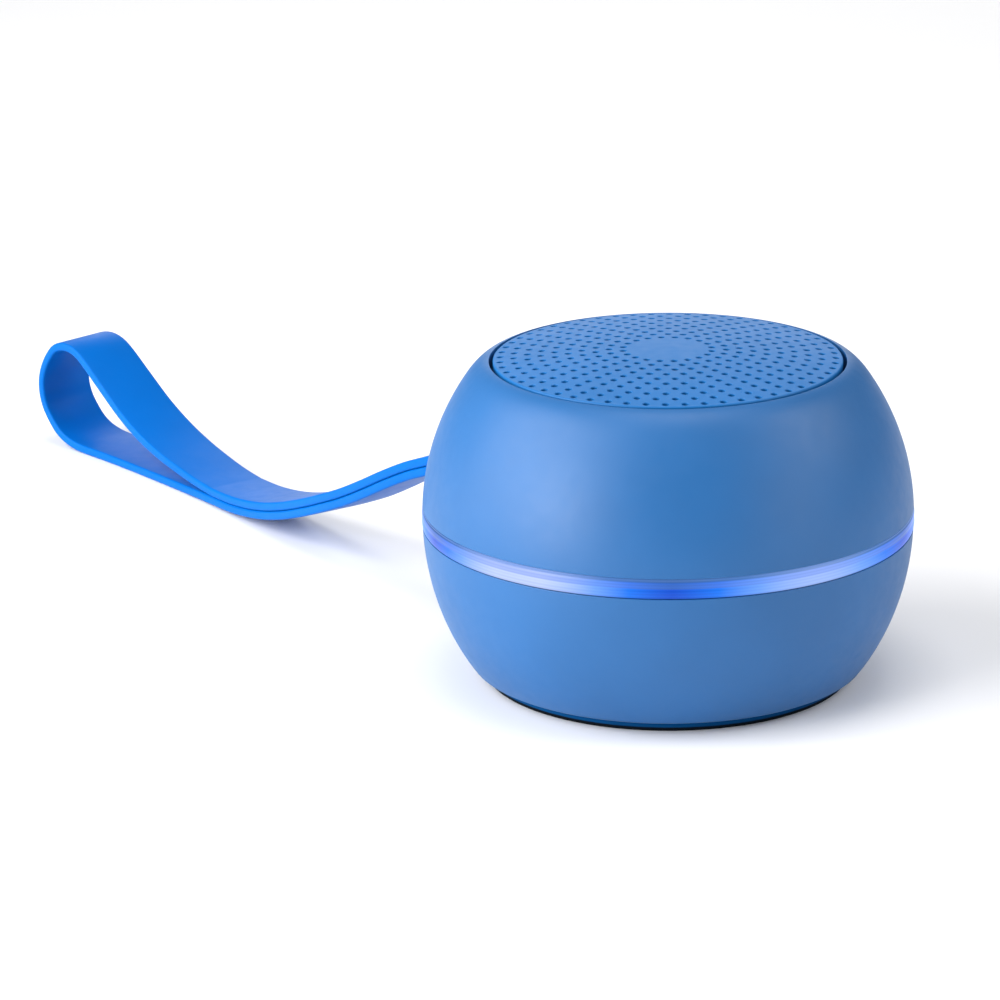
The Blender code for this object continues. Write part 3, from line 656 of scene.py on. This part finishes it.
def grille_dome(m):
    """The domed plate: one triangulated sheet pierced by every hole, its underside and its skirt."""
    sides, rim = 20, 180  # points round a hole and round the plate
    plate, skirt_in, skirt_low = 1.1, 25.72, 42.2  # the plate's thickness, the skirt's inside and end
    flat_r = R_GRILLE - 0.47  # the edge's rounding starts here
    centres = hole_centres()
    points = [Vector(p) for p in circle(flat_r, rim)]
    for c in centres:
        points += [c + Vector(p) for p in circle(HOLE_R + HOLE_EDGE, sides)]
    first_free = len(points)
    points += [Vector((0, 0))] + [Vector(p) for r in (1.6, 3.2, 4.7) for p in circle(r, 24)]
    loops = [list(range(rim))]
    loops += [list(range(rim + sides * k, rim + sides * (k + 1))) for k in range(len(centres))]
    edges = [(loop[k], loop[(k + 1) % len(loop)]) for loop in loops for k in range(len(loop))]
    flat, _, triangles = delaunay_2d_cdt(points, edges, [], 1, 1e-6)[:3]
    xy = np.array([tuple(p) for p in flat])
    which = np.full(len(xy), -1)
    for k in range(len(centres)):
        which[rim + sides * k:rim + sides * (k + 1)] = k

    def in_a_hole(t):
        return which[t[0]] >= 0 and which[t[0]] == which[t[1]] == which[t[2]]

    sheet = [t for t in triangles if not in_a_hole(t)]
    r = np.linalg.norm(xy, axis=1)
    top = [(x, y, dome_z(d)) for (x, y), d in zip(xy, r)]
    hub = np.array([tuple(c) for c in centres])

    def level(drop, shrink):
        """The holes' outlines below the surface, a little narrower."""
        ring = []
        for i in range(rim, first_free):
            c = hub[which[i]]
            x, y = c + (xy[i] - c) * shrink
            ring.append((x, y, dome_z(math.hypot(x, y)) - drop))
        return ring

    narrow = HOLE_R / (HOLE_R + HOLE_EDGE)
    verts = list(top)
    mid = len(verts) - rim
    verts += level(HOLE_EDGE, narrow)
    under = len(verts)
    bottom = [(x * skirt_in / flat_r, y * skirt_in / flat_r, dome_z(flat_r) - plate)
              for x, y in xy[:rim]]
    bottom += level(plate, narrow)
    bottom += [(x, y, dome_z(d) - plate) for (x, y), d in zip(xy[first_free:], r[first_free:])]
    verts += bottom
    faces = [tuple(t) for t in sheet] + [tuple(under + i for i in t[::-1]) for t in sheet]
    for loop in loops[1:]:
        for k, a in enumerate(loop):
            b = loop[(k + 1) % sides]
            faces += [(b, a, mid + a, mid + b), (mid + b, mid + a, under + a, under + b)]
    edge = rounded([(flat_r, dome_z(flat_r), 0), (R_GRILLE, dome_z(flat_r) - 0.02, 0.45),
                    (R_GRILLE, skirt_low, 0.1), (skirt_in, skirt_low, 0.1),
                    (skirt_in, dome_z(flat_r) - plate, 0)])[1:-1]

    def band(a, b):
        return [(a + k, a + (k + 1) % rim, b + (k + 1) % rim, b + k) for k in range(rim)]

    last = 0
    for radius, z in edge:
        start = len(verts)
        verts += [(x * radius / flat_r, y * radius / flat_r, z) for x, y in xy[:rim]]
        faces += band(last, start)
        last = start
    faces += band(last, under)
    # painted light: the grille shares the shell's plastic, coloured brighter for its top
    finish = moulded("grille_blue_painted_light", LIT_GRILLE_BLUE, 0.5, Specular_IOR_Level=0.3).material
    obj = make("grille_dome", (verts, faces), [finish], 30)
    piece(obj, "housing", "shell_plastic", "grille")


# ---------------------------------------------------------------- controls
def key_symbol(name):
    """Raised generic marks, as outlines in (across, up) seen from outside."""
    w, h = 0.17, 1.15  # half a stroke's width and half its length
    if name == "minus":
        return [[(-h, -w), (h, -w), (h, w), (-h, w)]]
    if name == "plus":
        return [[(-h, -w), (-w, -w), (-w, -h), (w, -h), (w, -w), (h, -w), (h, w), (w, w), (w, h),
                 (-w, h), (-w, w), (-h, w)]]
    triangle = [(-1.25, -0.75), (0.0, 0.0), (-1.25, 0.75)]
    bars = [[(x, -0.7), (x + 0.3, -0.7), (x + 0.3, 0.7), (x, 0.7)] for x in (0.3, 0.85)]
    return [triangle, *bars]


def key(name, az, m):
    """A push button: a stem, a flange behind the wall, a domed cap and its raised mark."""
    at = facing(az, CTRL_Z)
    axis = at @ Matrix.Rotation(math.radians(90), 4, "Y")
    face = rounded([(0, 32.15, 0), (1.0, 32.15, 0.1), (1.0, 32.95, 0), (3.0, 32.95, 0.1),
                    (3.0, 33.25, 0.1), (2.5, 33.25, 0), (2.5, 36.95, 0.4)])
    face += [(2.0 * t, 37.05 - 0.09 * t * t) for t in (0.8, 0.6, 0.4, 0.2, 0)]
    cap = lathe(face, 64, axis)
    marks = [prism(outline, 36.7, 37.16, at, 0.05) for outline in key_symbol(name)]
    obj = make(f"{name}_key", merged(cap, *marks), [m["shell_plastic"], m["white_plastic"]])
    for polygon in obj.data.polygons:
        polygon.material_index = int(min(polygon.vertices) >= len(cap[0]))
    piece(obj, f"{name}_button", "shell_plastic", f"button_{name}")


def power_knob(m):
    """The slide switch's knob: a plate behind the slot and a ridged grip."""
    at = facing(SWITCH_AZ, CTRL_Z)
    plate = prism([(-3.1, -1.6), (0.7, -1.6), (0.7, 1.6), (-3.1, 1.6)], 32.7, 33.3, at)
    grip_x, foot_x, ridge_pitch = 36.75, 33.2, 0.5
    profile = [(-2.4, foot_x), (-2.4, grip_x)]
    for k in range(4):
        y = -2.2 + ridge_pitch * k
        profile += [(y + 0.06, 37.2), (y + 0.2, 37.3), (y + 0.3, 37.2), (y + 0.42, 36.85)]
    profile += [(0.0, grip_x), (0.0, foot_x)]
    rings = [[at @ Vector((x, y, z * s)) for y, x in profile] for z, s in
             ((-0.9, 1), (-0.75, 1.0), (0.75, 1.0), (0.9, 1))]
    obj = make("power_knob", merged(plate, loft(rings)), [m["black_plastic"]], 40)
    piece(obj, "switch_slider", "black_plastic", "switch_knob")


def port_cover(m):
    """The socket's rubber flap: it follows the shell, with a lip for a fingernail and an inner plug."""
    cover = on_wall(round_rect(12.0, 5.8, 0.8), USB_AZ, CTRL_Z,
                    [(1.08, -0.15), (0.95, 0), (0.22, 0), (0.08, -0.06), (0.03, -0.2)])
    lip = on_wall([(u, v + 2.1) for u, v in round_rect(3.6, 0.8, 0.35)], USB_AZ, CTRL_Z,
                  [(0.6, 0), (-0.35, 0), (-0.42, -0.1)])
    plug = prism(round_rect(8.0, 2.1, 1.0), 33.5, 35.6, facing(USB_AZ, CTRL_Z), 0.25,
                 (True, False))
    obj = make("port_cover", merged(cover, lip, plug), [m["silicone"]])
    piece(obj, "port_flap", "silicone", "usb_flap")


def usb_receptacle(m):
    """The socket: a rolled steel shell with a flared mouth, and its tongue with contacts."""
    at = facing(USB_AZ, CTRL_Z)

    def ring(width, height, radius, x):
        return [at @ Vector((x, y, z)) for y, z in round_rect(width, height, radius, 8)]

    outer, inner = (9.0, 3.2, 1.5), (8.3, 2.5, 1.15)
    tube = loft([ring(*outer, 25.8), ring(*outer, 33.0), ring(8.8, 3.0, 1.4, 33.1),
                 ring(8.5, 2.7, 1.25, 33.1), ring(*inner, 32.9), ring(*inner, 27.5)])
    obj = make("usb_receptacle", tube, [m["steel"]])
    piece(obj, "housing", "steel", "usb_socket")
    tongue = prism(round_rect(6.6, 0.7, 0.3), 27.4, 32.2, at, 0.15)
    contacts = [prism(boxed(y, 0.12, side * 0.34, side * 0.42), 28.5, 31.9, at)
                for side in (-1, 1) for y in np.linspace(-2.7, 2.7, 10)]
    obj = make("usb_tongue", merged(tongue, *contacts), [m["black_plastic"], m["copper"]])
    for polygon in obj.data.polygons:
        polygon.material_index = int(min(polygon.vertices) >= len(tongue[0]))
    piece(obj, "housing", "black_plastic")


# ---------------------------------------------------------------- strap
def heading(s):
    """The way the band runs over the table, as an azimuth, after a reach of s."""
    q = (s - 100) / 60
    return math.radians(125.5 + 0.4 * q + 12.0 * q * q)


def strap_plan():
    """Where the strap's centre line runs over the table, for each step of its reach."""
    s, step = STRAIGHT_S, 0.5
    at = polar(s, STRAP_AZ)
    rows = [(s, at.x, at.y, math.radians(STRAP_AZ))]
    while s < 172:
        h = heading(s + step / 2)
        at = at + Vector((math.cos(h), math.sin(h), 0)) * step
        s += step
        rows.append((s, at.x, at.y, heading(s)))
    return np.array(rows)


PLAN = strap_plan()


def strap_at(s, side, z):
    """The place at a reach of s, to the side of the strap's centre line, at height z."""
    if s <= STRAIGHT_S:
        p, h = polar(s, STRAP_AZ), math.radians(STRAP_AZ)
    else:
        x, y, h = (float(np.interp(s, PLAN[:, 0], PLAN[:, k])) for k in (1, 2, 3))
        p = Vector((x, y, 0))
    return Vector((p.x + side * math.sin(h), p.y - side * math.cos(h), z))


def spline(points, step):
    """Points about one step apart on a smooth curve through the given ones."""
    p = np.array([points[0]] + list(points) + [points[-1]], float)
    out = []
    for i in range(1, len(p) - 2):
        a, b, c, d = p[i - 1], p[i], p[i + 1], p[i + 2]
        n = max(1, int(round(np.linalg.norm(c - b) / step)))
        for k in range(n):
            t = k / n
            out.append(0.5 * (2 * b + (c - a) * t + (2 * a - 5 * b + 4 * c - d) * t * t
                              + (3 * b - a - 3 * c + d) * t**3))
    out.append(p[-2])
    return np.array(out)


def smooth(t):
    t = min(1.0, max(0.0, t))
    return t * t * (3 - 2 * t)


def beside(path, distance):
    """The path moved sideways, to its left."""
    t = np.gradient(path, axis=0)
    t /= np.linalg.norm(t, axis=1)[:, None]
    shift = np.broadcast_to(distance, len(path))[:, None]
    return path + np.stack([-t[:, 1], t[:, 0]], 1) * shift


def strap_path():
    """The band's centre line in (reach, height): out of the body, along the top to the eye, back
    underneath, and round the pin inside the body."""
    pair = spline([(33.0, STRAP_Z), (36.5, STRAP_Z), (FLEX_S, 26.2), (46, 23.6), (52, 21.2),
                   (58, 18.3), (64, 15.2), (70, 12.3), (76, 9.8), (82, 7.5), (88, 5.45), (94, 3.8),
                   (100, 2.66), (106, 2.0), (112, 1.8)], 1.0)
    half = STRAP_T / 2 + 0.02
    upper, lower = beside(pair, half), beside(pair, -half)
    eye = spline([tuple(upper[-2]), tuple(upper[-1]), (118, 3.05), (124, 3.95), (130, 5.2), (136, 7.1),
                  (142, 9.95), (148, 13.9), (152.3, 17.0), (154.9, 18.5), (157.8, 19.05),
                  (160.9, 18.3), (163.2, 16.0), (164.7, 13.3), (165.2, 10.8), (164.9, 8.2),
                  (163.6, 5.6), (160.5, 2.5), (155.8, 1.0), (148, 0.80), (138, 0.78),
                  (128, 0.80), (120, 0.88),
                  tuple(lower[-1]), tuple(lower[-2])], 0.9)
    start = np.argmin(np.linalg.norm(eye - upper[-1], axis=1))
    stop = np.argmin(np.linalg.norm(eye - lower[-1], axis=1))
    turn_r = PIN_R + 0.3 + STRAP_T / 2
    turn = [(PIN_S + turn_r * math.cos(a), STRAP_Z + turn_r * math.sin(a))
            for a in np.radians(np.linspace(285, 75, 22))]
    return np.array(list(upper) + list(eye[start + 1:stop]) + list(lower[::-1]) + turn)


def wrist_strap(m):
    """The silicone band, swept along its path, bending where it leaves the body."""
    path = strap_path()
    n = len(path)
    tangent = np.roll(path, -1, axis=0) - np.roll(path, 1, axis=0)
    tangent /= np.linalg.norm(tangent, axis=1)[:, None]
    section = round_rect(STRAP_W, STRAP_T, 0.42, 5)
    rings = []
    for (s, z), (ts, tz) in zip(path, tangent):
        wider = 1 + EYE_WIDER * smooth((s - EYE_S[0]) / (EYE_S[1] - EYE_S[0]))
        rings.append([strap_at(s - tz * v, u * wider, z + ts * v) for u, v in section])
    obj = make("wrist_strap", loft(rings, closed=True), [m["silicone"]], 50)
    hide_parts("strap_root", "strap_loop")
    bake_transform(obj)


# ---------------------------------------------------------------- stage
def softbox(name, az, elevation, power):
    """A square light aimed at the body's middle. Its sizes are in metres."""
    distance, size, aim = 0.9, 0.5, Vector((0, 0, 0.025))
    light = bpy.data.lights.new(name, "AREA")
    light.size = size
    light.energy = power
    obj = bpy.data.objects.new(name, light)
    bpy.context.scene.collection.objects.link(obj)
    a, e = math.radians(az), math.radians(elevation)
    back = Vector((math.cos(a) * math.cos(e), math.sin(a) * math.cos(e), math.sin(e)))
    obj.location = aim + back * distance
    obj.rotation_euler = back.to_track_quat("Z", "Y").to_euler()
    obj.visible_camera = False
    return obj


def stage():
    """A pale floor, a dim white surround and the lights."""
    floor_shader = Shader("studio_floor", (0.86, 0.86, 0.87), 0.8)
    floor_shader.feed("Base Color", floor_shader.ramp(
        floor_shader.noise(8), [(0.3, (0.855, 0.855, 0.865)), (0.7, (0.865, 0.865, 0.875))]))
    side = 3000
    corners = [(-side, -side, 0), (side, -side, 0), (side, side, 0), (-side, side, 0)]
    floor = make("studio_floor", (corners, [(0, 1, 2, 3)]), [floor_shader.material])
    world = bpy.data.worlds.new("studio")
    bpy.context.scene.world = world
    world.use_nodes = True
    background = world.node_tree.nodes["Background"]
    background.inputs["Color"].default_value = (1, 1, 1, 1)
    background.inputs["Strength"].default_value = 0.2
    for name, az, elevation, power in (
        ("key_low", 216, 12, 7.8), ("key_high", 213, 42, 3.0), ("left_low", 182, 12, 2.8),
        ("left_high", 180, 38, 3.6), ("top", 0, 88, 3.2), ("back", 90, 16, 1.15),
        ("right_high", 0, 38, 3.3), ("right_low", 330, 12, 1.8),
    ):
        softbox(name, az, elevation, power)


def camera():
    """At the front, a little to the right of the axis and above, looking down at the body."""
    pitch, yaw, roll = math.radians(17.554), math.radians(2.45), math.radians(-0.697)
    ahead = Vector((-math.sin(yaw) * math.cos(pitch), math.cos(yaw) * math.cos(pitch),
                    -math.sin(pitch)))
    right = ahead.cross(Vector((0, 0, 1))).normalized()
    up = right.cross(ahead)
    tilted_right = right * math.cos(roll) + up * math.sin(roll)
    tilted_up = up * math.cos(roll) - right * math.sin(roll)
    data = bpy.data.cameras.new("camera")
    data.sensor_width = 36.0
    data.lens = 147.88
    data.clip_start, data.clip_end = 0.01, 50.0
    obj = bpy.data.objects.new("camera", data)
    bpy.context.scene.collection.objects.link(obj)
    turn = Matrix((tilted_right, tilted_up, -ahead)).transposed()
    obj.matrix_world = Matrix.Translation((0, -0.59079, 0.21367)) @ turn.to_4x4()
    bpy.context.scene.camera = obj


def dress_inner_parts(m):
    """Every CAD node that stays gets the material of its slot."""
    for part in frame["record"]["subparts"]:
        node = frame["nodes"][part["node"]]
        node.data.materials.clear()
        node.data.materials.append(m[part["material_slot"]])


materials = make_materials()
dress_inner_parts(materials)
upper_housing(materials)
lower_housing(materials)
glow_ring(materials)
base_pad(materials)
grille_dome(materials)
for key_name, key_az in BUTTON_AZ.items():
    key(key_name, key_az, materials)
power_knob(materials)
port_cover(materials)
usb_receptacle(materials)
wrist_strap(materials)
stage()
camera()
bpy.context.scene.view_settings.view_transform = "Standard"
